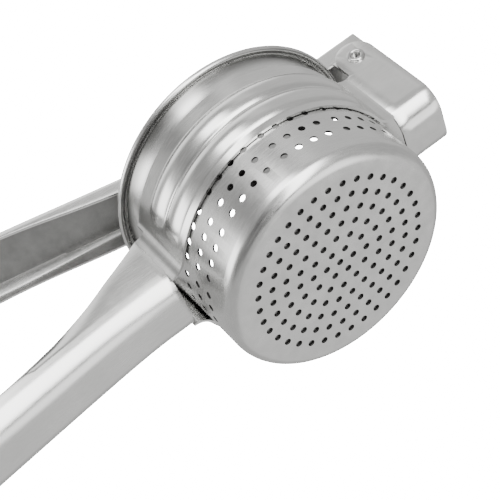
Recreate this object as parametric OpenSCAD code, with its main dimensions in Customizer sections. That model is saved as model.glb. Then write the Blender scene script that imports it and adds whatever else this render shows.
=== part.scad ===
// Potato ricer: perforated basket in a pressed band, two channel handles
// and a swinging press plate.
// Millimetres.  The origin is the middle of the underside of the basket,
// +Z runs up the basket axis and +X points to the handle hinge.

/* [Basket] */
// Outer diameter of the straight basket wall
basket_d = 82.8; // [78:0.2:84]
// Height of the basket, floor to the top of the curled rim
basket_h = 61.6; // [58:0.1:66]
// Sheet thickness of the basket
basket_t = 0.7; // [0.5:0.1:0.9]
// Outer radius of the bend between floor and wall
basket_bend = 5; // [4:0.5:6]
// Outer diameter of the curled rim
rim_d = 91.6; // [90:0.2:93]
// Radius of the curl at the rim
rim_curl = 1.3; // [1:0.1:1.6]
// Diameter of the holes
hole_d = 2.4; // [1.8:0.1:2.6]
// Radius of the outermost ring of floor holes
floor_ring_r = 31; // [28:0.5:32]
// Number of rings of floor holes around the middle one
floor_rings = 6; // [4:1:6]
// Rows of holes in the wall
wall_rows = 3; // [1:1:3]
// Height of the lowest row of wall holes
wall_row_z = 12.3; // [11:0.1:13]
// Spacing of the wall rows
wall_row_pitch = 6.4; // [5:0.1:6.6]
// Groups of wall holes around the basket
wall_groups = 11; // [8:1:11]
// Angle from one wall hole to the next in a group
wall_hole_step = 7.7; // [7:0.1:8]

/* [Band and hinge ears] */
// Sheet thickness of the band and of both handles
sheet_t = 1; // [0.8:0.1:1.2]
// Radial gap between basket and band
band_gap = 0.6; // [0.3:0.05:0.7]
// Lower edge of the band
band_z = 25; // [24:0.1:25.6]
// Upper edge of the band
band_top = 51.5; // [50:0.1:52]
// Radius of a stiffening bead's outer surface
bead_r = 7.3; // [6:0.1:8]
// How far a bead stands out from the band
bead_rise = 1.4; // [0.8:0.1:1.6]
// Heights of the two beads
bead_zs = [31.8, 41.3]; // [31:0.1:42]
// Outer half width of the hinge block and of the handle's root
root_w = 12.5; // [12:0.1:13]
// Radius of the bend where the band turns into the straight walls
root_bend = 6; // [5:0.5:7]
// Upper edge of the band where the lower handle starts
root_top = 47.6; // [46:0.1:49]
// Underside of the hinge block and of the handle's root
root_z = 22.4; // [22:0.1:24]
// Outer radius of the long bends along the root's underside
root_round = 8; // [6:0.5:9]
// Rear end of the hinge ears
ear_end = 61.4; // [61.4:0.1:63]
// Radius of the ears around the hinge pin
ear_r = 7.1; // [6.8:0.1:7.1]
// Radius of the fillet between an ear and the upper edge of the band
ear_fillet = 1.5; // [1:0.1:1.7]

/* [Hinge and handles] */
// Distance of the hinge pin from the basket axis
hinge_x = 54.3; // [54:0.1:55]
// Height of the hinge pin
hinge_z = 58; // [57.5:0.1:58.5]
// Outer diameter of the tubular hinge pin
hinge_pin_d = 4.4; // [4:0.1:5]
// Bore through the tubular hinge pin
hinge_pin_bore = 3; // [2.4:0.1:3.2]
// Diameter of the pin's rolled ends
hinge_head_d = 6.4; // [6.2:0.1:6.8]
// Radial clearance of pins in the bores they turn in
pin_gap = 0.05; // [0.03:0.01:0.08]
// Length of the handles from the basket axis to the free ends
handle_reach = 228; // [205:1:240]
// Height of the upper handle's back where it crosses the basket
back_z = 70.2; // [70:0.1:71]
// Diameter of the hanging hole
hang_d = 8; // [6:0.5:10]
// Distance of the hanging hole from the lower handle's end
hang_in = 14; // [12:1:18]

/* [Press plate] */
// Diameter of the press plate
plate_d = 76; // [74:0.5:76]
// Height of the plate's turned-up edge
plate_h = 6; // [5:0.5:6]
// Sheet thickness of the plate
plate_t = 1.2; // [1:0.1:1.4]
// Outer radius of the plate's bend
plate_bend = 5; // [4:0.5:5]
// Gap under the plate when the handles are closed
plate_gap = 0.3; // [0.3:0.1:0.6]
// Swivel pin, distance towards the hinge
pivot_x = 5; // [4.5:0.1:5.5]
// Swivel pin, height
pivot_z = 32; // [31.6:0.1:32.4]
// Diameter of the swivel pin
pivot_pin_d = 5; // [4:0.5:5]
// Diameter of the swivel pin's heads
pivot_head_d = 9; // [8:0.5:9.5]
// Sheet thickness of both brackets
bracket_t = 1.5; // [1.2:0.1:1.6]
// Outer half width of the bracket under the handle
hanger_w = 9.1; // [8.8:0.1:9.3]

/* [Show] */
// Which sub-part to draw

/* [Hidden] */
$fn = 96;
eps = 0.01;
steel = [0.78, 0.78, 0.77];
bright = [0.86, 0.86, 0.85];

basket_r = basket_d / 2;
rim_r = rim_d / 2 - rim_curl;
rim_z = basket_h - rim_curl;
flare_z = band_top + 0.8;

band_in = basket_r + band_gap;
band_out = band_in + sheet_t;
// centre of the bend between the band and a straight wall
bend_y = root_w + root_bend;
root_x = sqrt(pow(band_out + root_bend, 2) - pow(bend_y, 2));
bead_at = band_out + bead_rise - bead_r;
bead_end = 34;

head_w = root_w - sheet_t - 0.3;
head_edge = basket_h + 0.7;
head_end = ear_end - 0.2;

// channel stations: x, outer half width, open edge, closed side, bend radius
lower_keys = [
    [-root_x, root_w, root_top, root_z, root_round],
    [-59, 12.6, 41.8, 22.4, 8],
    [-73, 12.9, 36.4, 21.6, 8],
    [-90, 13.3, 32.2, 19.9, 8.5],
    [-110, 13.7, 28.8, 17.7, 9],
    [-150, 14, 24.4, 13.4, 9],
    [-handle_reach, 14, 16.2, 5.2, 9]];
upper_keys = [
    [head_end, head_w, head_edge, back_z, 2],
    [20, head_w, head_edge, back_z, 2],
    [-2, 11.2, head_edge, back_z + 0.2, 2.2],
    [-16, 11.6, 65, 73.2, 2.6],
    [-44, 12.6, 72.9, 80.9, 4],
    [-77, 14, 84, 90, 5.6],
    [-110, 14.3, 91.5, 98.5, 6.4],
    [-150, 14.4, 101, 108.4, 6.8],
    [-handle_reach, 14.4, 114.6, 122, 6.8]];
rings_per_key = 5;
bend_steps = 8;

hanger_top = back_z - sheet_t - 0.15;
plate_z = basket_t + plate_gap;
plate_bracket_w = hanger_w - bracket_t - 0.3;

// value k of the smooth curve through a list of stations, at u from 0 to 1
// between stations i and i + 1
function smooth(keys, i, u, k) =
    let (n = len(keys) - 1,
         a = keys[max(i - 1, 0)], b = keys[i], c = keys[i + 1], d = keys[min(i + 2, n)],
         h = c[0] - b[0],
         mb = (c[k] - a[k]) / (c[0] - a[0]) * h,
         mc = (d[k] - b[k]) / (d[0] - b[0]) * h)
    b[k] * (2 * u * u * u - 3 * u * u + 1) + mb * (u * u * u - 2 * u * u + u)
    + c[k] * (3 * u * u - 2 * u * u * u) + mc * (u * u * u - u * u);

// every station of a channel, the keys and the rings between them
function stations(keys) = [
    for (i = [0 : len(keys) - 2], j = [0 : rings_per_key - (i == len(keys) - 2 ? 0 : 1)])
        let (u = j / rings_per_key)
        [keys[i][0] + u * (keys[i + 1][0] - keys[i][0]),
         for (k = [1 : 4]) smooth(keys, i, u, k)]];

// half of a channel section from its open edge to the middle of the web
function half_section(w, edge, web, r, up) = concat(
    [[w, edge]],
    [for (a = [0 : bend_steps])
        let (t = a * 90 / bend_steps) [w - r + r * cos(t), web - up * (r - r * sin(t))]]);

// closed outline of a channel section; up is 1 for a channel that opens down
function section(s, up) =
    let (t = sheet_t,
         o = half_section(s[1], s[2], s[3], s[4], up),
         i = half_section(s[1] - t, s[2], s[3] - up * t, s[4] - t, up),
         n = len(o) - 1)
    concat([for (p = o) [s[0], p[0], p[1]]],
           [for (k = [n : -1 : 0]) [s[0], -o[k][0], o[k][1]]],
           [for (p = i) [s[0], -p[0], p[1]]],
           [for (k = [n : -1 : 0]) [s[0], i[k][0], i[k][1]]]);

// pressed channel that follows its stations
module channel(keys, up) {
    st = stations(keys);
    m = len(section(st[0], up));
    last = (len(st) - 1) * m;
    half = m / 2;
    walls = [for (i = [0 : len(st) - 2], j = [0 : m - 1])
        let (a = i * m + j, b = i * m + (j + 1) % m)
        each [[a, b, b + m], [a, b + m, a + m]]];
    front = [for (j = [0 : half - 2])
        each [[j, m - 1 - j, j + 1], [j + 1, m - 1 - j, m - 2 - j]]];
    back = [for (f = front) [last + f[2], last + f[1], last + f[0]]];
    faces = concat(walls, front, back);
    polyhedron([for (s = st) each section(s, up)],
               up > 0 ? faces : [for (f = faces) [f[2], f[1], f[0]]]);
}

// rod along Y, both ends at +- half
module rod(d, half) {
    rotate([90, 0, 0])
        cylinder(h = 2 * half, d = d, center = true);
}

// side view drawn in X and Z, given width along Y
module side_plate(y0, y1) {
    translate([0, y1, 0])
        rotate([90, 0, 0])
            linear_extrude(y1 - y0)
                children();
}

// sheet metal cup outline: half section, bend and wall
module cup_outline(r, bend, z, top) {
    translate([0, z])
        square([r - bend, bend]);
    translate([0, z + bend])
        square([r, top - z - bend]);
    translate([r - bend, z + bend])
        intersection() {
            circle(bend);
            translate([0, -bend])
                square(bend);
        }
}

module basket() {
    color(steel)
    difference() {
        rotate_extrude() {
            difference() {
                cup_outline(basket_r, basket_bend, 0, flare_z);
                cup_outline(basket_r - basket_t, basket_bend - basket_t, basket_t, flare_z + 1);
            }
            polygon([[basket_r - basket_t, flare_z], [basket_r, flare_z],
                     [rim_r + 0.2, rim_z], [rim_r - basket_t + 0.2, rim_z]]);
            translate([rim_r, rim_z])
                circle(rim_curl);
        }
        floor_holes();
        wall_holes();
    }
}

module floor_holes() {
    for (k = [0 : floor_rings], i = [0 : max(6 * k, 1) - 1])
        rotate([0, 0, k == 0 ? 0 : i * 60 / k + 8])
            translate([k * floor_ring_r / floor_rings, 0, -1])
                cylinder(h = basket_t + 2, d = hole_d, $fn = 24);
}

module wall_holes() {
    for (g = [0 : wall_groups - 1], i = [0 : 3], k = [0 : wall_rows - 1])
        rotate([0, 0, g * 360 / wall_groups + (i - 1.5) * wall_hole_step - 13.4])
            translate([basket_r - 2, 0, wall_row_z + k * wall_row_pitch])
                rotate([0, 90, 0])
                    cylinder(h = 3, d = hole_d, $fn = 24);
}

// plan of the band and its straight roots; inset moves in through the sheet
module band_plan(inset) {
    circle(band_out - inset, $fn = 180);
    translate([-root_x, inset - root_w])
        square([2 * root_x, 2 * (root_w - inset)]);
    for (a = [0, 1], b = [0, 1])
        mirror([a, 0])
            mirror([0, b])
                difference() {
                    polygon([[0, 0], [root_x, 0], [root_x, bend_y]]);
                    translate([root_x, bend_y])
                        circle(root_bend + inset + eps);
                }
}

// wall of the band with the bends towards hinge and handle
module band_wall() {
    translate([0, 0, band_z])
        linear_extrude(band_top - band_z)
            difference() {
                band_plan(0);
                band_plan(sheet_t);
            }
}

// the two beads on one side of the band, ring section of radius r, outside
// a cylinder of radius core
module beads(r, core) {
    for (z = bead_zs)
        difference() {
            union() {
                rotate([0, 0, bead_end])
                    rotate_extrude(angle = 180 - 2 * bead_end)
                        translate([bead_at, z])
                            circle(r);
                for (a = [bead_end, 180 - bead_end])
                    rotate([0, 0, a])
                        translate([bead_at, 0, z])
                            rotate([90, 0, 0])
                                sphere(r);
            }
            translate([0, 0, z - r - 1])
                cylinder(h = 2 * r + 2, r = core, $fn = 180);
        }
}

// U outline of the hinge block in Y and Z, open at the top
module block_outline(w, z, r) {
    translate([-w, z + r])
        square([2 * w, 80]);
    translate([-w + r, z])
        square([2 * (w - r), r + eps]);
    for (s = [-1, 1])
        translate([s * (w - r), z + r])
            circle(r);
}

// side view of the hinge block with the two ears
module ear_outline() {
    difference() {
        union() {
            translate([root_x, root_z - 1])
                square([ear_end - root_x, band_top - root_z + 1]);
            translate([hinge_x - ear_r - ear_fillet, band_top - eps])
                square([ear_end - hinge_x + ear_r + ear_fillet, ear_fillet + eps]);
            translate([hinge_x - ear_r, band_top])
                square([ear_end - hinge_x + ear_r, hinge_z - band_top]);
            translate([hinge_x, hinge_z])
                circle(ear_r);
        }
        translate([hinge_x - ear_r - ear_fillet, band_top + ear_fillet])
            circle(ear_fillet);
    }
}

module hinge_block() {
    intersection() {
        translate([root_x, 0, 0])
            rotate([90, 0, 90])
                linear_extrude(ear_end - root_x)
                    difference() {
                        block_outline(root_w, root_z, root_round);
                        block_outline(root_w - sheet_t, root_z + sheet_t, root_round - sheet_t);
                    }
        side_plate(-20, 20)
            ear_outline();
    }
}

module band() {
    color(steel)
    difference() {
        union() {
            band_wall();
            for (s = [0, 1])
                mirror([0, s, 0])
                    beads(bead_r, band_out - 0.3);
            hinge_block();
        }
        for (s = [0, 1])
            mirror([0, s, 0])
                beads(bead_r - sheet_t, band_in - 0.3);
        translate([hinge_x, 0, hinge_z])
            rod(hinge_pin_d + 2 * pin_gap, 20);
        translate([-60, -30, root_top])
            cube([60 - root_x + 4, 60, 10]);
    }
}

// plan of a handle's rounded free end, to keep what lies inside it
module end_plan(w) {
    translate([-handle_reach + w, 0, -10])
        cylinder(h = 200, r = w);
    translate([-handle_reach + w, -w - 5, -10])
        cube([400, 2 * w + 10, 200]);
}

module lower_handle() {
    color(steel)
    difference() {
        intersection() {
            channel(lower_keys, -1);
            end_plan(16);
        }
        translate([-handle_reach + hang_in, 0, -5])
            cylinder(h = 40, d = hang_d);
    }
}

// side view of the eye that hangs from the upper handle's walls
module eye_outline() {
    translate([hinge_x, hinge_z])
        circle(ear_r - 0.1);
    translate([hinge_x - ear_r + 0.1, hinge_z])
        square([head_end - hinge_x + ear_r - 0.1, head_edge - hinge_z + 2]);
}

module upper_handle() {
    color(steel)
    difference() {
        union() {
            intersection() {
                channel(upper_keys, 1);
                end_plan(16);
            }
            for (s = [0, 1])
                mirror([0, s, 0])
                    side_plate(head_w - sheet_t, head_w)
                        eye_outline();
        }
        translate([hinge_x, 0, hinge_z])
            rod(hinge_pin_d + 2 * pin_gap, 20);
    }
}

module hinge_pin() {
    curl = (hinge_head_d - hinge_pin_bore) / 4;
    color(bright)
    translate([hinge_x, 0, hinge_z])
        difference() {
            union() {
                rod(hinge_pin_d, root_w + 0.2);
                for (s = [0, 1])
                    mirror([0, s, 0])
                        translate([0, root_w, 0])
                            rotate([-90, 0, 0])
                                rotate_extrude()
                                    translate([hinge_pin_bore / 2 + curl, 0])
                                        intersection() {
                                            circle(curl);
                                            translate([-curl, 0])
                                                square(2 * curl);
                                        }
            }
            rod(hinge_pin_bore, root_w + 5);
        }
}

// plain tube on a pin along Y
module spacer(x, z, outer, bore, half) {
    translate([x, 0, z])
        difference() {
            rod(outer, half);
            rod(bore, half + 1);
        }
}

module hinge_spacer() {
    color(steel)
    spacer(hinge_x, hinge_z, hinge_pin_d + 2.4, hinge_pin_d + 2 * pin_gap, head_w - sheet_t - 0.05);
}

// cheek outline: round eye at the pivot, wider foot at height z
module cheek_outline(foot0, foot1, z, eye) {
    dir = z > pivot_z ? 1 : -1;
    translate([pivot_x, pivot_z])
        circle(eye);
    polygon([[pivot_x - eye, pivot_z], [pivot_x + eye, pivot_z],
             [foot1, z - dir * 10], [foot1, z], [foot0, z], [foot0, z - dir * 10]]);
}

module hanger_bracket() {
    color(steel)
    difference() {
        union() {
            for (s = [0, 1])
                mirror([0, s, 0])
                    side_plate(hanger_w - bracket_t, hanger_w)
                        cheek_outline(0, 22, hanger_top - eps, 6.5);
            translate([0, -hanger_w, hanger_top - bracket_t])
                cube([22, 2 * hanger_w, bracket_t]);
        }
        translate([pivot_x, 0, pivot_z])
            rod(pivot_pin_d + 2 * pin_gap, 20);
    }
}

module plate_bracket() {
    floor_z = plate_z + plate_t;
    color(steel)
    difference() {
        union() {
            for (s = [0, 1])
                mirror([0, s, 0])
                    side_plate(plate_bracket_w - bracket_t, plate_bracket_w)
                        cheek_outline(pivot_x - 15, pivot_x + 12, floor_z, 6.5);
            translate([pivot_x - 15, -plate_bracket_w, floor_z])
                cube([27, 2 * plate_bracket_w, bracket_t]);
        }
        translate([pivot_x, 0, pivot_z])
            rod(pivot_pin_d + 2 * pin_gap, 20);
    }
}

module press_plate() {
    color(steel)
    rotate_extrude()
        difference() {
            cup_outline(plate_d / 2, plate_bend, plate_z, plate_z + plate_h);
            cup_outline(plate_d / 2 - plate_t, plate_bend - plate_t, plate_z + plate_t,
                        plate_z + plate_h + 1);
        }
}

module pivot_pin() {
    color(bright)
    translate([pivot_x, 0, pivot_z]) {
        rod(pivot_pin_d, hanger_w + 0.5);
        for (s = [0, 1])
            mirror([0, s, 0])
                translate([0, hanger_w, 0])
                    rotate([-90, 0, 0]) {
                        cylinder(h = 1, d = pivot_head_d);
                        translate([0, 0, 1 - eps])
                            cylinder(h = 0.6, d1 = pivot_head_d, d2 = pivot_head_d - 3);
                    }
    }
}

module pivot_spacer() {
    color(steel)
    spacer(pivot_x, pivot_z, pivot_pin_d + 2.6, pivot_pin_d + 2 * pin_gap,
           plate_bracket_w - bracket_t - 0.05);
}

basket();
band();
lower_handle();
upper_handle();
hinge_pin();
hinge_spacer();
hanger_bracket();
plate_bracket();
press_plate();
pivot_pin();
pivot_spacer();
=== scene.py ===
# %% [markdown]
# # A hand-held potato ricer in satin stainless steel
#
# The tool is a perforated basket held in a pressed band. A channel handle grows out of the
# band on one side, and on the other side two ears carry the hinge of the upper handle,
# which pushes a round plate down into the basket. The frame gives every piece that moves,
# at its true size. Here each visible piece is modelled once more with its soft bends,
# curled edges and worn satin finish.

from math import atan2, cos, degrees, pi, radians, sin, sqrt

import bmesh
import bpy
from mathutils import Euler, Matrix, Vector


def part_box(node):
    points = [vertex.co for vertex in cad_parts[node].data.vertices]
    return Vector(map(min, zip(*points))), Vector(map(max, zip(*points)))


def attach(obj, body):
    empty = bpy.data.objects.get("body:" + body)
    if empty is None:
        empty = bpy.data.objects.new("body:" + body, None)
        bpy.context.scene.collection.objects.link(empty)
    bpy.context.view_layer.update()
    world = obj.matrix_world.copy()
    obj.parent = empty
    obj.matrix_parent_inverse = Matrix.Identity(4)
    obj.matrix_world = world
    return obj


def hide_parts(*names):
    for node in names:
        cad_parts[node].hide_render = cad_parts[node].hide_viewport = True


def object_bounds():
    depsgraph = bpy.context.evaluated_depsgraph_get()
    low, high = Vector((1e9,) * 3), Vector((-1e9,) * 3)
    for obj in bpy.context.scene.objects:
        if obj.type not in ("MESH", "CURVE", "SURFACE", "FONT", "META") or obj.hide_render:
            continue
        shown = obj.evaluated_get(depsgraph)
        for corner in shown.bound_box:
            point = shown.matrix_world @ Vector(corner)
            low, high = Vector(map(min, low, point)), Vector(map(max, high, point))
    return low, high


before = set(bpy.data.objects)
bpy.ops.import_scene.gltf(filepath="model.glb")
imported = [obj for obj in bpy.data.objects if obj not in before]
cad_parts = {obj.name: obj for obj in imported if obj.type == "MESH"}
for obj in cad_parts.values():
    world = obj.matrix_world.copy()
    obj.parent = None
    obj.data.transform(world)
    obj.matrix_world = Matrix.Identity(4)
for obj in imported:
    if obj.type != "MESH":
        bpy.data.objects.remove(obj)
cad_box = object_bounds()
MM = 0.001
print("frame nodes:", sorted(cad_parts))

# %% [markdown]
# ## Driving sizes
#
# A real ricer is pressed from sheet, so a few radii and heights decide everything else.
# The rim and the height of the basket are read from the frame. The other sizes are those
# of the press tools: the bend of the floor, the edges of the band, and the two long beads.

# %% Driving sizes, in millimetres
rim_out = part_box("basket")[1][0] / MM
basket_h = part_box("basket")[1][2] / MM
basket_r = 41.4
basket_sheet = 0.7
basket_bend = 5.0
curl_r = 1.3

sheet = 1.0
band_sheet = 0.9
band_out = 43.0
band_low, band_high = 25.0, 51.5
bead_levels = (31.8, 41.3)
bead_half, bead_rise = 4.4, 1.35
bead_end_turn = 56
edge_tuck, tuck_fade = 0.4, 6
root_w = 12.5
root_bend = 6.0
root_low, root_top = 22.4, 47.6
bend_y = root_w + root_bend
root_x = sqrt((band_out + root_bend) ** 2 - bend_y ** 2)
bend_angle = atan2(bend_y, root_x)

hinge = Vector((54.3, 0.0, 58.0))
ear_end = 61.4
ear_r = 7.1
pin_hole_r = 2.25
upper_w = 11.2
hang_hole_r = 4.0
print(f"rim radius {rim_out:.1f} mm, basket height {basket_h:.1f} mm, roots at x = {root_x:.1f} mm")

# %% [markdown]
# ## Small helpers
#
# Sheet metal is drawn as an outline and then turned or pulled into a surface, so the
# helpers do the same: a chain of points is drawn by extruding one vertex again and again,
# and a surface comes from spinning or extruding that chain. Everything is deselected
# first, because the frame arrives selected.


# %% Selecting and finishing an object
def only(piece):
    if bpy.context.object and bpy.context.object.mode != "OBJECT":
        bpy.ops.object.mode_set(mode="OBJECT")
    bpy.ops.object.select_all(action="DESELECT")
    piece.select_set(True)
    bpy.context.view_layer.objects.active = piece


def edit(piece):
    only(piece)
    bpy.ops.object.mode_set(mode="EDIT")
    bpy.ops.mesh.select_mode(type="VERT")
    bpy.ops.mesh.select_all(action="SELECT")


def leave():
    bpy.ops.object.mode_set(mode="OBJECT")


def modify(piece, kind, **values):
    only(piece)
    modifier = piece.modifiers.new(kind.title(), kind)
    for name, value in values.items():
        setattr(modifier, name, value)
    bpy.ops.object.modifier_apply(modifier=modifier.name)


def smooth(piece, angle=35):
    only(piece)
    bpy.ops.object.shade_smooth_by_angle(angle=radians(angle))


def join(pieces):
    only(pieces[0])
    for piece in pieces:
        piece.select_set(True)
    bpy.ops.object.join()
    return bpy.context.object


# %% Drawing chains, turning them and pulling them
def chain(name, points, closed=False):
    """Edge chain through points in millimetres, drawn by extruding one vertex."""
    points = [Vector(p) * MM for p in points]
    bpy.ops.object.select_all(action="DESELECT")
    bpy.ops.mesh.primitive_plane_add(size=MM, location=(0, 0, 0))
    piece = bpy.context.object
    piece.name = piece.data.name = name
    edit(piece)
    bpy.ops.mesh.merge(type="CENTER")
    bpy.ops.transform.translate(value=points[0])
    for last, here in zip(points, points[1:]):
        bpy.ops.mesh.extrude_region_move(TRANSFORM_OT_translate={"value": here - last})
    if closed:
        bpy.ops.mesh.select_all(action="SELECT")
        bpy.ops.mesh.edge_face_add()
    leave()
    return piece


def spin(piece, steps, angle=2 * pi):
    edit(piece)
    bpy.ops.mesh.spin(steps=steps, angle=angle, center=(0, 0, 0), axis=(0, 0, 1))
    bpy.ops.mesh.select_all(action="SELECT")
    bpy.ops.mesh.remove_doubles(threshold=0.002 * MM)
    bpy.ops.mesh.normals_make_consistent(inside=False)
    leave()


def prism(name, outline, along, reach):
    """Closed outline filled and pulled along a direction."""
    piece = chain(name, outline, closed=True)
    edit(piece)
    bpy.ops.mesh.extrude_region_move(TRANSFORM_OT_translate={"value": Vector(along) * reach * MM})
    bpy.ops.mesh.select_all(action="SELECT")
    bpy.ops.mesh.normals_make_consistent(inside=False)
    leave()
    return piece


def arc(centre, radius, start, end, steps):
    """Points of an arc in a plane, angles in degrees."""
    turns = [radians(start + (end - start) * k / steps) for k in range(steps + 1)]
    return [(centre[0] + radius * cos(t), centre[1] + radius * sin(t)) for t in turns]


def cut(piece, tool, operation="DIFFERENCE"):
    modify(piece, "BOOLEAN", object=tool, operation=operation, solver="EXACT",
           material_mode="TRANSFER")
    bpy.data.objects.remove(tool)


# %% [markdown]
# ## Basket
#
# The basket is deep drawn: one disc of thin sheet becomes a flat floor, a round bend and a
# straight wall, and its edge is flared and curled outwards so that nobody gets cut. A
# profile of that sheet, spun once around the axis, gives exactly such a shell. The holes
# are punched before drawing, in rings on the floor and in groups of four columns on the
# wall, so they are cut with one set of round punches.

# %% Basket shell
def basket_profile():
    out, t, b = basket_r, basket_sheet, basket_bend
    curl = (rim_out - curl_r, basket_h - curl_r)
    flare_low = band_high + 0.8
    flare_high = curl[1] - 0.3

    def flare(z):
        s = (z - flare_low) / (flare_high - flare_low)
        return 1.9 * s ** 1.8

    levels = [flare_low + (flare_high - flare_low) * k / 8 for k in range(9)]
    outer = [(0, 0), (out - b, 0)] + arc((out - b, b), b, -80, 0, 8)
    outer += [(out, 20), (out, 36)] + [(out + flare(z), z) for z in levels]
    roll = arc(curl, curl_r, 195, 525, 22)
    inner = [(out - t + flare(z), z) for z in reversed(levels)]
    inner += [(out - t, 36), (out - t, 20)] + arc((out - b, b), b - t, 0, -80, 8)
    inner += [(out - b, t), (0, t)]
    return [(r, 0, z) for r, z in outer + roll + inner]


basket = chain("basket_shell", basket_profile())
spin(basket, 220)
print("basket shell:", len(basket.data.polygons), "faces")

# %% [markdown]
# ### Holes
#
# A press makes all the holes with round punches, so round cutters are copied to every place
# and joined, and one boolean takes them out of the shell. That is quicker than one boolean
# for each hole, and the cutters carry a near-black material to the walls of the holes:
# painted shade, so that the holes look dark.

# %% Punches for the holes
hole_r = 1.2
floor_ring = 31.0
row_levels = [12.3 + 6.4 * k for k in range(3)]
group_count, column_step = 11, 7.7


def punch(name, place, turn):
    bpy.ops.object.select_all(action="DESELECT")
    bpy.ops.mesh.primitive_cylinder_add(vertices=20, radius=hole_r * MM, depth=4 * MM,
                                        location=Vector(place) * MM, rotation=turn)
    bpy.context.object.name = name
    return bpy.context.object


def floor_punches():
    tools = []
    for ring in range(7):
        for k in range(max(6 * ring, 1)):
            turn = radians(k * 60 / ring + 8) if ring else 0
            r = ring * floor_ring / 6
            tools.append(punch("floor_punch", (r * cos(turn), r * sin(turn), 0.3), (0, 0, turn)))
    return tools


def wall_punches():
    tools = []
    for group in range(group_count):
        for column in range(4):
            turn = radians(group * 360 / group_count + (column - 1.5) * column_step - 13.4)
            for level in row_levels:
                place = (basket_r * cos(turn), basket_r * sin(turn), level)
                tools.append(punch("wall_punch", place, (0, pi / 2, turn)))
    return tools


punches = floor_punches() + wall_punches()
hole_count = len(punches)
punches = join(punches)
# The hole walls get a near-black material: painted shade, so the holes look dark.
hole_wall_shade = bpy.data.materials.new("painted_hole_shade")
punches.data.materials.append(hole_wall_shade)
basket.data.materials.append(bpy.data.materials.new("basket_sheet"))
only(punches)
bpy.ops.object.transform_apply(location=True, rotation=True, scale=True)
cut(basket, punches)
smooth(basket, 30)
print("basket:", hole_count, "holes,", len(basket.data.polygons), "faces")

# %% [markdown]
# ## Band
#
# The band is a strip pressed around the basket. Two long beads stiffen it; they stop short
# of the hinge and of the handle with rounded ends. The strip is drawn as its plan line,
# pulled up in rows, and the rows of each bead are pushed outwards. The lowest rows are
# tucked in towards the basket, so that little light falls between the two. A subdivision
# surface rounds the beads off, and the sheet then gets its thickness towards the inside.


# %% Plan line of one side of the band
def plan_side():
    """From the handle's root to the hinge's root, on the -Y side."""
    left = arc((-root_x, -bend_y), root_bend, 90, degrees(bend_angle), 7)
    ring = arc((0, 0), band_out, degrees(bend_angle) - 180, -degrees(bend_angle), 66)
    right = arc((root_x, -bend_y), root_bend, 180 - degrees(bend_angle), 90, 7)
    return left + ring[1:-1] + right


def bead_push(z):
    """How far the band stands out at height z."""
    push = 0.0
    for level in bead_levels:
        off = abs(z - level) / bead_half
        if off < 1:
            push = max(push, bead_rise * (1 - off ** 2) ** 0.8)
    return push


band_rows = [band_low, band_low + 0.3]
for level in bead_levels:
    band_rows += [level + bead_half * k for k in (-1.0, -0.94, -0.7, -0.4, 0, 0.4, 0.7, 0.94, 1.0)]
band_rows += [root_top, band_high - 0.3, band_high]


def push_row(piece, level, tuck=0.0):
    """Moves one row of a bead away from the basket, less and less towards its ends.

    A tuck moves the whole row towards the basket instead."""
    edit(piece)
    sheet_mesh = bmesh.from_edit_mesh(piece.data)
    off = min(abs(level - b) for b in bead_levels)
    for vertex in sheet_mesh.verts:
        x, y, z = (c / MM for c in vertex.co)
        if abs(z - level) > 0.05:
            continue
        past = max(0.0, radians(abs(degrees(atan2(x, -y))) - bead_end_turn) * band_out)
        push = bead_push(level) if past == 0 else bead_end_push(off, past)
        if tuck:
            push = -tuck * max(0.0, 1 - past / tuck_fade)
        grow = 1 + push / band_out
        vertex.co.x *= grow
        vertex.co.y *= grow
    bmesh.update_edit_mesh(piece.data)
    leave()


def bead_end_push(off, past):
    far = sqrt(off ** 2 + past ** 2) / bead_half
    return bead_rise * (1 - far ** 2) ** 0.8 if far < 1 else 0.0


def band_side(name):
    """Plan line pulled up through the rows, with its beads and its tucked edge."""
    plan = plan_side()
    piece = chain(name, [(x, y, band_rows[0]) for x, y in plan])
    edit(piece)
    for low, high in zip(band_rows, band_rows[1:]):
        bpy.ops.mesh.extrude_region_move(
            TRANSFORM_OT_translate={"value": (0, 0, (high - low) * MM)})
    bpy.ops.mesh.select_all(action="SELECT")
    bpy.ops.mesh.normals_make_consistent(inside=False)
    leave()
    for level in band_rows:
        if bead_push(level) > 0:
            push_row(piece, level)
    for level in band_rows[:2]:
        push_row(piece, level, tuck=edge_tuck)
    return piece


def outward(piece):
    """Turns the sheet so that its faces look away from the basket axis."""
    middle = sum(bead_levels) / 2 * MM
    face = min(piece.data.polygons, key=lambda f: abs(f.center.x) + abs(f.center.z - middle))
    if face.normal.dot(Vector((face.center.x, face.center.y, 0))) < 0:
        edit(piece)
        bpy.ops.mesh.flip_normals()
        leave()


band_near = band_side("band_strap_near")
outward(band_near)
modify(band_near, "SUBSURF", levels=2, render_levels=2)
modify(band_near, "SOLIDIFY", thickness=band_sheet * MM, offset=-1)
step = prism("root_step", [(-60, -40, root_top), (4 - root_x, -40, root_top),
                           (4 - root_x, -40, 60), (-60, -40, 60)], (0, 1, 0), 80)
cut(band_near, step)
smooth(band_near, 40)
print("band side:", len(band_near.data.polygons), "faces")


# %% [markdown]
# ### The far side
#
# The band is the same on both sides of the handles, so its far half is a mirrored copy.
# A mirror turns a shape inside out, and the copy has its normals worked out again.

# %% The other side of the band
def mirror_copy(piece, name):
    """Copy on the other side of the XZ plane, with its normals put right."""
    only(piece)
    bpy.ops.object.duplicate()
    other = bpy.context.object
    other.name = other.data.name = name
    edit(other)
    bpy.ops.transform.mirror(constraint_axis=(False, True, False), center_override=(0, 0, 0))
    bpy.ops.mesh.select_all(action="SELECT")
    bpy.ops.mesh.normals_make_consistent(inside=False)
    leave()
    return other


band_far = mirror_copy(band_near, "band_strap_far")
print("band is", round((band_near.bound_box[6][2] - band_near.bound_box[0][2]) / MM, 1), "mm high")

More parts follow.
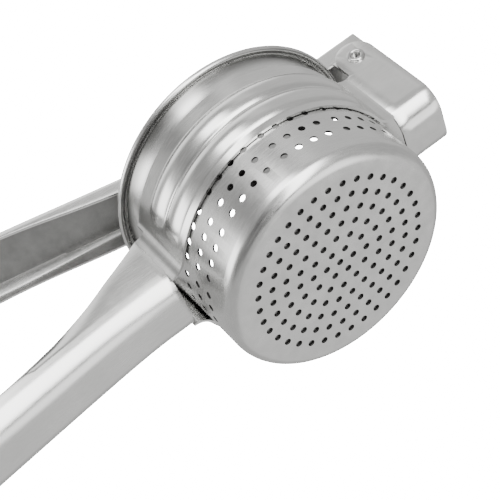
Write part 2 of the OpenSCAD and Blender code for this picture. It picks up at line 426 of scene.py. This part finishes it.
# %% [markdown]
# ## Hinge block
#
# Behind the basket the same sheet runs on as a U: two flat walls, two long soft bends and a
# web below. The walls end in ears with a rounded top around the hinge pin, and a small
# round relief keeps the sheet from tearing where an ear meets the band. The U is pulled
# from its cross-section and then trimmed to the side view of the ears.


# %% Hinge block
def u_section(w, top, low, r, steps=10):
    left = [(-w, top), (-w, (top + low + r) / 2)] + arc((-w + r, low + r), r, 180, 270, steps)
    right = arc((w - r, low + r), r, 270, 360, steps) + [(w, (top + low + r) / 2), (w, top)]
    return left + right


def ear_side_view():
    fillet = 1.5
    points = [(root_x, root_low - 2), (ear_end, root_low - 2), (ear_end, hinge.z)]
    points += arc((hinge.x, hinge.z), ear_r, 0, 180, 20)[1:]
    points += arc((hinge.x - ear_r - fillet, band_high + fillet), fillet, 0, -90, 6)
    points += [(root_x, band_high)]
    return points


block = chain("hinge_block", [(root_x, y, z) for y, z in u_section(root_w, 72, root_low, 8)])
edit(block)
for _ in range(4):
    bpy.ops.mesh.extrude_region_move(
        TRANSFORM_OT_translate={"value": ((ear_end - root_x + 1) / 4 * MM, 0, 0)})
bpy.ops.mesh.select_all(action="SELECT")
bpy.ops.mesh.normals_make_consistent(inside=False)
leave()
lowest = min(block.data.polygons, key=lambda face: face.center.z)
if lowest.normal.z > 0:
    edit(block)
    bpy.ops.mesh.flip_normals()
    leave()
modify(block, "SOLIDIFY", thickness=sheet * MM, offset=-1)
trim = prism("ear_trim", [(x, -20, z) for x, z in ear_side_view()], (0, 1, 0), 40)
cut(block, trim, "INTERSECT")
pin_punch = prism("pin_punch", [(x, -20, z) for x, z in arc((hinge.x, hinge.z), pin_hole_r, 0, 350, 35)],
                  (0, 1, 0), 40)
cut(block, pin_punch)
modify(block, "BEVEL", width=0.18 * MM, segments=2, limit_method="ANGLE", angle_limit=radians(50))
smooth(block, 35)
print("hinge block:", len(block.data.polygons), "faces")

# %% [markdown]
# ## Handles
#
# Both handles are channels pressed from flat sheet. Near the basket the lower one has tall
# flat walls, which sink and round off towards the grip; the upper one is low over the
# basket and arches up into the grip. A channel like this is a row of cross-sections, so
# the first section is drawn and pulled from station to station, and each new row is set to
# its own width, height and bend.

# %% Stations of the two handles
# x, half width, open edge, closed side, bend radius
reach = -cad_box[0][0] / MM
lower_stations = [(-root_x, root_w, root_top, root_low, 8.0), (-59, 12.6, 41.8, 22.4, 8.0),
                  (-73, 12.9, 36.4, 21.6, 8.0), (-90, 13.3, 32.2, 19.9, 8.5),
                  (-110, 13.7, 28.8, 17.7, 9.0), (-150, 14.0, 24.4, 13.4, 9.0),
                  (-reach, 14.0, 16.2, 5.2, 9.0)]
upper_stations = [(ear_end - 0.2, upper_w, basket_h + 0.7, 70.2, 2.0),
                  (20, upper_w, basket_h + 0.7, 70.2, 2.0),
                  (-2, upper_w, basket_h + 0.7, 70.4, 2.2),
                  (-16, 11.6, 65, 73.2, 2.6), (-44, 12.6, 72.9, 80.9, 4.0),
                  (-77, 14.0, 84, 90, 5.6), (-110, 14.3, 91.5, 98.5, 6.4),
                  (-150, 14.4, 101, 108.4, 6.8), (-reach, 14.4, 114.6, 122, 6.8)]


def between(stations, i, u):
    """Station on the smooth curve between stations i and i + 1."""
    a, b = stations[max(i - 1, 0)], stations[i]
    c, d = stations[i + 1], stations[min(i + 2, len(stations) - 1)]
    span = c[0] - b[0]
    values = [b[0] + u * span]
    for k in range(1, 5):
        rise_b = (c[k] - a[k]) / (c[0] - a[0]) * span
        rise_c = (d[k] - b[k]) / (d[0] - b[0]) * span
        values.append(b[k] * (2 * u ** 3 - 3 * u ** 2 + 1) + rise_b * (u ** 3 - 2 * u ** 2 + u)
                      + c[k] * (3 * u ** 2 - 2 * u ** 3) + rise_c * (u ** 3 - u ** 2))
    return values


def channel_rows(stations, per_key=6):
    rows = [between(stations, i, j / per_key)
            for i in range(len(stations) - 1) for j in range(per_key)]
    return rows + [list(stations[-1])]


def channel_section(row, steps=10):
    """Points of one cross-section from open edge to open edge."""
    x, w, edge, web, r = row
    up = 1 if web > edge else -1
    r = min(r, abs(web - edge) - 0.3)
    bend = arc((w - r, 0), r, 0, 90, steps)
    lean = 1.8 * min(max((-x - 62) / 25, 0), 1) if up < 0 else 0
    half = [(w - lean, edge), (w - lean / 2, (edge + web - up * r) / 2)]
    half += [(y, web - up * (r - z)) for y, z in bend]
    half += [((w - r) * 0.5, web)]
    other = [(-y, z) for y, z in reversed(half)]
    return [(x, y, z) for y, z in half + [(0, web)] + other]


# %% [markdown]
# ### From stations to a channel
#
# Only a few stations are given. The rows between them lie on a smooth curve, and near the
# free end each row is made narrower, which closes the handle.

# %% Pulling a channel through its stations
end_round = 16.0


def rounded_end(row):
    """Narrows the last rows of a handle to its round end."""
    x, w, edge, web, r = row
    into_end = (-reach + end_round) - x
    if into_end <= 0:
        return row
    room = sqrt(max(end_round ** 2 - into_end ** 2, 3.0))
    narrow = min(w, room)
    return [x, narrow, edge, web, min(r, narrow - 0.2)]


def pull_channel(name, rows):
    sections = [[Vector(p) * MM for p in channel_section(row)] for row in rows]
    piece = chain(name, channel_section(rows[0]))
    edit(piece)
    for last, here in zip(sections, sections[1:]):
        step = here[0] - last[0]
        bpy.ops.mesh.extrude_region_move(TRANSFORM_OT_translate={"value": step})
        row = [v for v in bmesh.from_edit_mesh(piece.data).verts if v.select]
        for vertex in row:
            before = vertex.co - step
            k = min(range(len(last)), key=lambda i: (last[i] - before).length_squared)
            vertex.co = here[k]
        bmesh.update_edit_mesh(piece.data)
    bpy.ops.mesh.select_all(action="SELECT")
    bpy.ops.mesh.normals_make_consistent(inside=False)
    leave()
    return piece


def face_web(piece, up):
    """Turns the channel so that its web looks outwards: up for +1, down for -1."""
    face = (max if up > 0 else min)(piece.data.polygons, key=lambda f: f.center.z)
    if face.normal.z * up < 0:
        edit(piece)
        bpy.ops.mesh.flip_normals()
        leave()


def handle_rows(stations):
    rows = [list(row) for row in channel_rows(stations)]
    tail = rows[-1]
    before = [row for row in rows if row[0] > -reach + end_round]
    base = before[-1]
    ends = []
    for k in range(1, 13):
        x = -reach + 0.3 + (end_round - 0.3) * (1 - sin(k / 12 * pi / 2))
        u = (x - base[0]) / (tail[0] - base[0])
        ends.append(rounded_end([x] + [base[i] + u * (tail[i] - base[i]) for i in range(1, 5)]))
    return before + ends


# %% Lower handle
lower = pull_channel("lower_handle_channel", handle_rows(lower_stations))
face_web(lower, -1)
modify(lower, "SOLIDIFY", thickness=sheet * MM, offset=-1)
modify(lower, "BEVEL", width=0.25 * MM, segments=2, limit_method="ANGLE", angle_limit=radians(50))
hang_x = -reach + 14
bpy.ops.object.select_all(action="DESELECT")
bpy.ops.mesh.primitive_cylinder_add(vertices=48, radius=hang_hole_r * MM, depth=40 * MM,
                                    location=(hang_x * MM, 0, 7 * MM))
cut(lower, bpy.context.object)
smooth(lower, 35)
print("lower handle:", len(lower.data.polygons), "faces")

# %% Upper handle
upper = pull_channel("upper_handle_channel", handle_rows(upper_stations))
face_web(upper, 1)
modify(upper, "SOLIDIFY", thickness=sheet * MM, offset=-1)
modify(upper, "BEVEL", width=0.25 * MM, segments=2, limit_method="ANGLE", angle_limit=radians(50))
smooth(upper, 35)


def eye_plate(name, y):
    outline = arc((hinge.x, hinge.z), ear_r - 0.1, 180, 360, 24)
    outline += [(ear_end - 0.2, hinge.z + 1), (ear_end - 0.2, basket_h + 0.8),
                (hinge.x - ear_r + 0.1, basket_h + 0.8)]
    plate = prism(name, [(x, y, z) for x, z in outline], (0, 1, 0), sheet)
    modify(plate, "BEVEL", width=0.2 * MM, segments=2, limit_method="ANGLE",
           angle_limit=radians(50))
    smooth(plate, 35)
    return plate


eyes = [eye_plate("upper_handle_eye_near", -upper_w),
        eye_plate("upper_handle_eye_far", upper_w - sheet)]
print("upper handle:", len(upper.data.polygons), "faces and two eyes")

# %% [markdown]
# ## Satin steel
#
# Stainless kitchen steel is sanded and then polished a little. It is nearly colourless, its
# gloss breaks up into very fine streaks, and handling leaves faint cloudy patches. One
# node group makes both effects from object coordinates, and each material gives it its own
# direction and strength.


# %% Node group for the finish
def steel_finish_group():
    group = bpy.data.node_groups.new("steel_finish", "ShaderNodeTree")
    for name, kind in (("Along", "NodeSocketVector"), ("Cloud", "NodeSocketVector"),
                       ("Dark", "NodeSocketColor"), ("Light", "NodeSocketColor"),
                       ("Rough low", "NodeSocketFloat"), ("Rough high", "NodeSocketFloat")):
        group.interface.new_socket(name=name, in_out="INPUT", socket_type=kind)
    for name, kind in (("Color", "NodeSocketColor"), ("Roughness", "NodeSocketFloat"),
                       ("Height", "NodeSocketFloat")):
        group.interface.new_socket(name=name, in_out="OUTPUT", socket_type=kind)
    nodes, links = group.nodes, group.links
    enter, leave_node = nodes.new("NodeGroupInput"), nodes.new("NodeGroupOutput")
    streak = nodes.new("ShaderNodeTexNoise")
    streak.inputs["Scale"].default_value = 1.0
    streak.inputs["Detail"].default_value = 4.0
    cloud = nodes.new("ShaderNodeTexNoise")
    cloud.inputs["Scale"].default_value = 1.0
    cloud.inputs["Detail"].default_value = 3.0
    links.new(enter.outputs["Along"], streak.inputs["Vector"])
    links.new(enter.outputs["Cloud"], cloud.inputs["Vector"])
    blend = nodes.new("ShaderNodeMath")
    blend.operation = "MULTIPLY_ADD"
    blend.inputs[1].default_value = 0.45
    links.new(streak.outputs["Fac"], blend.inputs[0])
    half = nodes.new("ShaderNodeMath")
    half.operation = "MULTIPLY"
    half.inputs[1].default_value = 0.55
    links.new(cloud.outputs["Fac"], half.inputs[0])
    links.new(half.outputs[0], blend.inputs[2])
    spread = nodes.new("ShaderNodeMapRange")
    spread.inputs["From Min"].default_value = 0.32
    spread.inputs["From Max"].default_value = 0.68
    links.new(blend.outputs[0], spread.inputs["Value"])
    tint = nodes.new("ShaderNodeMix")
    tint.data_type = "RGBA"
    links.new(spread.outputs["Result"], tint.inputs["Factor"])
    links.new(enter.outputs["Dark"], tint.inputs["A"])
    links.new(enter.outputs["Light"], tint.inputs["B"])
    rough = nodes.new("ShaderNodeMix")
    links.new(spread.outputs["Result"], rough.inputs["Factor"])
    links.new(enter.outputs["Rough low"], rough.inputs["A"])
    links.new(enter.outputs["Rough high"], rough.inputs["B"])
    links.new(tint.outputs["Result"], leave_node.inputs["Color"])
    links.new(rough.outputs["Result"], leave_node.inputs["Roughness"])
    links.new(streak.outputs["Fac"], leave_node.inputs["Height"])
    return group


steel_finish = steel_finish_group()


# %% Steel materials
def steel(name, along, cloud, dark, light, rough_low, rough_high, bump=0.04):
    """Bare steel: noise sizes for streaks and clouds, its two tints and its gloss."""
    material = bpy.data.materials.new(name)
    material.use_nodes = True
    nodes, links = material.node_tree.nodes, material.node_tree.links
    shader = nodes["Principled BSDF"]
    shader.inputs["Metallic"].default_value = 1.0
    coords = nodes.new("ShaderNodeTexCoord")
    finish = nodes.new("ShaderNodeGroup")
    finish.node_tree = steel_finish
    for socket, size in (("Along", along), ("Cloud", cloud)):
        mapping = nodes.new("ShaderNodeMapping")
        mapping.inputs["Scale"].default_value = size
        links.new(coords.outputs["Object"], mapping.inputs["Vector"])
        links.new(mapping.outputs["Vector"], finish.inputs[socket])
    finish.inputs["Dark"].default_value = (*dark, 1)
    finish.inputs["Light"].default_value = (*light, 1)
    finish.inputs["Rough low"].default_value = rough_low
    finish.inputs["Rough high"].default_value = rough_high
    links.new(finish.outputs["Color"], shader.inputs["Base Color"])
    links.new(finish.outputs["Roughness"], shader.inputs["Roughness"])
    relief = nodes.new("ShaderNodeBump")
    relief.inputs["Strength"].default_value = bump
    relief.inputs["Distance"].default_value = 0.0002
    links.new(finish.outputs["Height"], relief.inputs["Height"])
    links.new(relief.outputs["Normal"], shader.inputs["Normal"])
    material.diffuse_color = (*light, 1)
    return material


def painted_hole_shade(material):
    """Painted shade inside the holes: near-black metal with a fine grain on the hole walls."""
    material.use_nodes = True
    nodes, links = material.node_tree.nodes, material.node_tree.links
    shader = nodes["Principled BSDF"]
    shader.inputs["Metallic"].default_value = 1.0
    coords, grain = nodes.new("ShaderNodeTexCoord"), nodes.new("ShaderNodeTexNoise")
    grain.inputs["Scale"].default_value = 1800.0
    shade = nodes.new("ShaderNodeMix")
    shade.data_type = "RGBA"
    shade.inputs["A"].default_value = (0.05, 0.05, 0.05, 1)
    shade.inputs["B"].default_value = (0.16, 0.16, 0.158, 1)
    links.new(coords.outputs["Object"], grain.inputs["Vector"])
    links.new(grain.outputs["Fac"], shade.inputs["Factor"])
    links.new(shade.outputs["Result"], shader.inputs["Base Color"])
    shader.inputs["Roughness"].default_value = 0.5


painted_hole_shade(hole_wall_shade)
satin_basket = steel("satin_basket", (250, 250, 2600), (60, 60, 60), (0.60, 0.60, 0.595),
                     (0.72, 0.72, 0.712), 0.20, 0.30)
# Darker, rougher copy of the steel: painted shade for faces inside the basket and under the upper
# handle.
painted_shade_inside = steel("painted_shade_inside", (250, 250, 900), (60, 60, 60), (0.22, 0.22, 0.218),
                     (0.32, 0.32, 0.316), 0.36, 0.48)
satin_band = steel("satin_band", (250, 250, 2600), (50, 50, 90), (0.62, 0.62, 0.613),
                   (0.73, 0.73, 0.72), 0.17, 0.26)
satin_handle = steel("satin_handle", (220, 2600, 2600), (40, 40, 40), (0.62, 0.62, 0.613),
                     (0.72, 0.72, 0.71), 0.20, 0.30)
# Darker copy of the steel for the press plate and brackets: painted shade, so the plate looks dark
# through the holes.
plate_steel_painted_shade = steel("plate_steel_painted_shade", (900, 900, 900), (60, 60, 60), (0.30, 0.30, 0.298),
                    (0.42, 0.42, 0.416), 0.34, 0.46)
turned_rivet = steel("turned_rivet", (1500, 1500, 1500), (200, 200, 200), (0.46, 0.46, 0.456),
                     (0.62, 0.62, 0.615), 0.16, 0.24)


def painted_shade_between_heights(material, low, high, shade):
    """Darkens the metal between two heights: painted shade, as in the hollow under the rim's curl."""
    nodes, links = material.node_tree.nodes, material.node_tree.links
    coords, axes = nodes.new("ShaderNodeTexCoord"), nodes.new("ShaderNodeSeparateXYZ")
    links.new(coords.outputs["Object"], axes.inputs["Vector"])
    depth = nodes.new("ShaderNodeMapRange")
    depth.interpolation_type = "SMOOTHSTEP"
    depth.inputs["From Min"].default_value = low * MM
    depth.inputs["From Max"].default_value = high * MM
    links.new(axes.outputs["Z"], depth.inputs["Value"])
    below = nodes.new("ShaderNodeMath")
    below.operation = "LESS_THAN"
    below.inputs[1].default_value = (high + 0.9) * MM
    links.new(axes.outputs["Z"], below.inputs[0])
    mask = nodes.new("ShaderNodeMath")
    mask.operation = "MULTIPLY"
    links.new(depth.outputs["Result"], mask.inputs[0])
    links.new(below.outputs[0], mask.inputs[1])
    darker = nodes.new("ShaderNodeMix")
    darker.data_type = "RGBA"
    darker.blend_type = "MULTIPLY"
    darker.inputs["B"].default_value = (*shade, 1)
    color = nodes["Principled BSDF"].inputs["Base Color"]
    links.new(color.links[0].from_socket, darker.inputs["A"])
    links.new(mask.outputs[0], darker.inputs["Factor"])
    links.new(darker.outputs["Result"], color)


# Painted shade on the flare under the curled rim, darker towards the curl.
painted_shade_between_heights(satin_basket, 54.3, 58.4, (0.42, 0.42, 0.415))
print("materials:", [m.name for m in bpy.data.materials])

# %% [markdown]
# ## Putting the pieces on the frame
#
# Each new piece rides on the body that carries it in the real tool and stands in for its
# frame node. The pins, brackets and the press plate keep their frame shape and only get
# the steel, a darker copy of it on the plate and brackets, as painted shade. Faces that
# look into the basket or under the upper handle get a darker, rougher one: the darkness
# is painted shade, where little light reaches.


# %% Riding, replacing and painting
def paint(piece, material):
    """Gives the first material slot, and leaves the painted shade on the walls of the holes alone."""
    if not piece.data.materials:
        piece.data.materials.append(material)
    piece.data.materials[0] = material


def line_inside(piece, material, is_inside):
    """Second material on the faces that look into a cup or channel."""
    piece.data.materials.append(material)
    index = len(piece.data.materials) - 1
    for face in piece.data.polygons:
        if face.material_index == 0 and is_inside(face):
            face.material_index = index


def into_basket(face):
    x, y, z = face.center / MM
    n = face.normal
    return z < 58 and (n.x * x + n.y * y < -1 or (n.z > 0.3 and sqrt(x * x + y * y) < 41))


for piece, body, slot, material, stands_for in (
        (basket, "cup", "basket_steel", satin_basket, ("basket",)),
        (band_near, "frame", "band_steel", satin_band, ("band",)),
        (band_far, "frame", "band_steel", satin_band, ()),
        (block, "frame", "band_steel", satin_band, ()),
        (lower, "frame", "handle_steel", satin_handle, ("lower_handle",)),
        (upper, "handle", "handle_steel", satin_handle, ("upper_handle",)),
        (eyes[0], "handle", "handle_steel", satin_handle, ()),
        (eyes[1], "handle", "handle_steel", satin_handle, ())):
    paint(piece, material)
    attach(piece, body)
    if stands_for:
        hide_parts(*stands_for)

for node, material in (("hinge_pin", turned_rivet), ("hinge_spacer", turned_rivet),
                       ("pivot_pin", turned_rivet), ("pivot_spacer", turned_rivet),
                       ("hanger_bracket", plate_steel_painted_shade), ("plate_bracket", plate_steel_painted_shade),
                       ("press_plate", plate_steel_painted_shade)):
    paint(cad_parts[node], material)
# Painted shade on the faces inside the basket and under the upper handle's web.
line_inside(basket, painted_shade_inside, into_basket)
line_inside(upper, painted_shade_inside, lambda face: face.normal.z < -0.6 and face.center.y ** 2 < 1e-4)
print("pieces on the frame")

# %% [markdown]
# ## Camera
#
# The tool is seen from below and from its side, so that the floor of the basket and the
# two handles show at once. A long lens keeps the hole rings close to true ellipses.

# %% Camera
camera_data = bpy.data.cameras.new("camera")
camera_data.lens = 118.3
camera_data.clip_start = 0.01
camera = bpy.data.objects.new("camera", camera_data)
camera.location = (-0.1267, -0.3897, -0.3174)
camera.rotation_euler = Euler((radians(141.05), radians(33.63), radians(18.75)))
bpy.context.scene.collection.objects.link(camera)
bpy.context.scene.camera = camera

# %% [markdown]
# ## Floor and light
#
# The tool stands on a pale floor. Because it is also looked at from below, the floor is
# made one-sided, like a shop window: solid from above and clear from underneath, and it
# takes no light away from the steel. The light is a white room with several soft boxes and
# dark cards, since bare metal only shows its shape when it has both to reflect.

# %% Floor
bpy.ops.object.select_all(action="DESELECT")
bpy.ops.mesh.primitive_plane_add(size=3.0, location=(0, 0, -0.0002))
floor = bpy.context.object
floor.name = "floor"
floor_paint = bpy.data.materials.new("pale_floor")
floor_paint.use_nodes = True
nodes, links = floor_paint.node_tree.nodes, floor_paint.node_tree.links
matte = nodes["Principled BSDF"]
matte.inputs["Base Color"].default_value = (0.82, 0.82, 0.81, 1)
matte.inputs["Roughness"].default_value = 0.9
clear = nodes.new("ShaderNodeBsdfTransparent")
side = nodes.new("ShaderNodeNewGeometry")
choice = nodes.new("ShaderNodeMixShader")
links.new(side.outputs["Backfacing"], choice.inputs["Fac"])
links.new(matte.outputs["BSDF"], choice.inputs[1])
links.new(clear.outputs["BSDF"], choice.inputs[2])
links.new(choice.outputs["Shader"], nodes["Material Output"].inputs["Surface"])
paint(floor, floor_paint)
for ray in ("visible_diffuse", "visible_glossy", "visible_transmission", "visible_shadow"):
    setattr(floor, ray, False)


# %% World
def node(tree, kind, operation=None, **values):
    new = tree.nodes.new(kind)
    if operation:
        new.operation = operation
    for name, value in values.items():
        new.inputs[int(name[1:])].default_value = value
    return new


def soft_box_mask(tree, azimuth, height, centre, width, low, high, soft):
    """Soft rectangle in the room: azimuth and height in degrees."""
    turn = node(tree, "ShaderNodeMath", "SUBTRACT", _1=radians(centre))
    tree.links.new(azimuth, turn.inputs[0])
    wrap = node(tree, "ShaderNodeMath", "WRAP", _1=pi, _2=-pi)
    tree.links.new(turn.outputs[0], wrap.inputs[0])
    side = node(tree, "ShaderNodeMath", "ABSOLUTE")
    tree.links.new(wrap.outputs[0], side.inputs[0])
    masks = []
    for source, near, far in ((side.outputs[0], radians(width / 2 + soft), radians(width / 2)),
                              (height, radians(low - soft), radians(low)),
                              (height, radians(high + soft), radians(high))):
        edge = tree.nodes.new("ShaderNodeMapRange")
        edge.interpolation_type = "SMOOTHSTEP"
        edge.inputs["From Min"].default_value = near
        edge.inputs["From Max"].default_value = far
        tree.links.new(source, edge.inputs["Value"])
        masks.append(edge.outputs["Result"])
    first = node(tree, "ShaderNodeMath", "MULTIPLY")
    tree.links.new(masks[0], first.inputs[0])
    tree.links.new(masks[1], first.inputs[1])
    second = node(tree, "ShaderNodeMath", "MULTIPLY")
    tree.links.new(first.outputs[0], second.inputs[0])
    tree.links.new(masks[2], second.inputs[1])
    return second.outputs[0]


world = bpy.data.worlds.new("white_room")
bpy.context.scene.world = world
world.use_nodes = True
tree = world.node_tree
coords = tree.nodes.new("ShaderNodeTexCoord")
axes = tree.nodes.new("ShaderNodeSeparateXYZ")
tree.links.new(coords.outputs["Generated"], axes.inputs["Vector"])
azimuth = node(tree, "ShaderNodeMath", "ARCTAN2")
tree.links.new(axes.outputs["Y"], azimuth.inputs[0])
tree.links.new(axes.outputs["X"], azimuth.inputs[1])
height = node(tree, "ShaderNodeMath", "ARCSINE")
tree.links.new(axes.outputs["Z"], height.inputs[0])

# centre, width, low, high, soft edge, what it adds to the room's light
soft_boxes = ((-95, 14, -4, 31, 8, 6.0), (-76, 26, -71, -7, 8, 7.0), (-165, 18, -2, 32, 9, 4.5),
              (-128, 14, -45, 70, 10, -0.25), (-100, 130, -91, -66, 10, -0.40),
              (20, 80, -86, -57, 10, 2.0), (-150, 60, -60, -26, 10, -0.35),
              (74, 80, -56, -20, 16, 0.30), (-62, 12, 30, 54, 6, 0.30), (-82, 6, 34, 52, 5, -0.16),
              (-22, 74, 22, 60, 15, 0.20), (0, 360, 64, 90, 12, 1.4))
room_light = 0.62
total = None
for centre, width, low, high, soft, power in soft_boxes:
    mask = soft_box_mask(tree, azimuth.outputs[0], height.outputs[0], centre, width, low, high,
                         soft)
    add = node(tree, "ShaderNodeMath", "MULTIPLY_ADD", _1=power, _2=room_light)
    tree.links.new(mask, add.inputs[0])
    if total is not None:
        tree.links.new(total, add.inputs[2])
    total = add.outputs[0]
at_least = node(tree, "ShaderNodeMath", "MAXIMUM", _1=0.05)
tree.links.new(total, at_least.inputs[0])

room = tree.nodes["Background"]
room.inputs["Color"].default_value = (1, 0.995, 0.985, 1)
tree.links.new(at_least.outputs[0], room.inputs["Strength"])
seen = tree.nodes.new("ShaderNodeBackground")
seen.inputs["Strength"].default_value = 30.0
path = tree.nodes.new("ShaderNodeLightPath")
pick = tree.nodes.new("ShaderNodeMixShader")
tree.links.new(path.outputs["Is Camera Ray"], pick.inputs["Fac"])
tree.links.new(room.outputs["Background"], pick.inputs[1])
tree.links.new(seen.outputs["Background"], pick.inputs[2])
tree.links.new(pick.outputs["Shader"], tree.nodes["World Output"].inputs["Surface"])
print("room with", len(soft_boxes), "soft boxes and dark cards")
